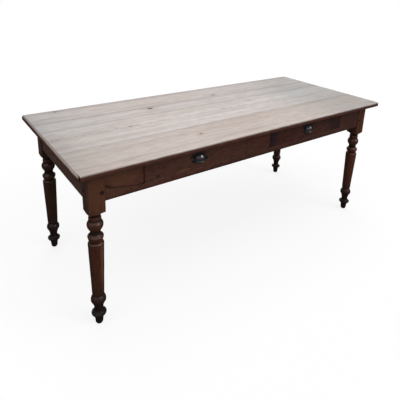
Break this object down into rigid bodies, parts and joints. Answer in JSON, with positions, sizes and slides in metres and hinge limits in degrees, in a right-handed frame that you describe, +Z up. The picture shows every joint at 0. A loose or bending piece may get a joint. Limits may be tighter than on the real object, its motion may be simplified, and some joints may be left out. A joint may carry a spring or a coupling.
{
  "type": "work table",
  "caption": "Long farmhouse work table with a scrubbed plank top, turned legs pegged to stained aprons, and dovetailed drawers with cup pulls along one side.",
  "frame": {"origin": "on the floor under the middle of the table top", "axes": "+X along the table to the right of someone facing the drawers, +Y towards the back, +Z up"},
  "size_m": [1.95, 0.826, 0.77],
  "materials": {
    "scrubbed_pine": "scrubbed and bleached, dry, with brown stain left on the edges",
    "stained_pine": "dark brown stain under worn wax",
    "peg_wood": "dark end grain",
    "bare_pine": "bare aged pine",
    "cast_metal": "dark cast metal, rubbed bright on the crown",
    "screw_steel": "darkened steel"
  },
  "bodies": {
    "table": {"top_plank_back": "scrubbed_pine", "top_plank_mid_back": "scrubbed_pine", "top_plank_mid_front": "scrubbed_pine", "top_plank_front": "scrubbed_pine", "end_strip_left": "scrubbed_pine", "end_strip_right": "scrubbed_pine", "leg_front_left": "stained_pine", "leg_front_right": "stained_pine", "leg_back_left": "stained_pine", "leg_back_right": "stained_pine", "apron_front": "stained_pine", "apron_back": "stained_pine", "apron_left": "stained_pine", "apron_right": "stained_pine", "joint_pegs": "peg_wood", "center_bearer": "bare_pine", "drawer_stops": "bare_pine", "top_buttons": "bare_pine", "runner_left_drawer_left": "bare_pine", "guide_left_drawer_left": "bare_pine", "runner_left_drawer_right": "bare_pine", "guide_left_drawer_right": "bare_pine", "runner_right_drawer_left": "bare_pine", "guide_right_drawer_left": "bare_pine", "runner_right_drawer_right": "bare_pine", "guide_right_drawer_right": "bare_pine", "button_screws": "screw_steel"},
    "drawer_left": {"drawer_left_front": "stained_pine", "drawer_left_side_left": "bare_pine", "drawer_left_side_right": "bare_pine", "drawer_left_back": "bare_pine", "drawer_left_bottom": "bare_pine", "drawer_left_pull": "cast_metal", "drawer_left_pull_screws": "screw_steel"},
    "drawer_right": {"drawer_right_front": "stained_pine", "drawer_right_side_left": "bare_pine", "drawer_right_side_right": "bare_pine", "drawer_right_back": "bare_pine", "drawer_right_bottom": "bare_pine", "drawer_right_pull": "cast_metal", "drawer_right_pull_screws": "screw_steel"}
  },
  "joints": [
    {"name": "drawer_left_slide", "type": "slide", "parent": "table", "child": "drawer_left", "axis": [0, -1, 0], "range_m": [0, 0.4]},
    {"name": "drawer_right_slide", "type": "slide", "parent": "table", "child": "drawer_right", "axis": [0, -1, 0], "range_m": [0, 0.4]}
  ]
}
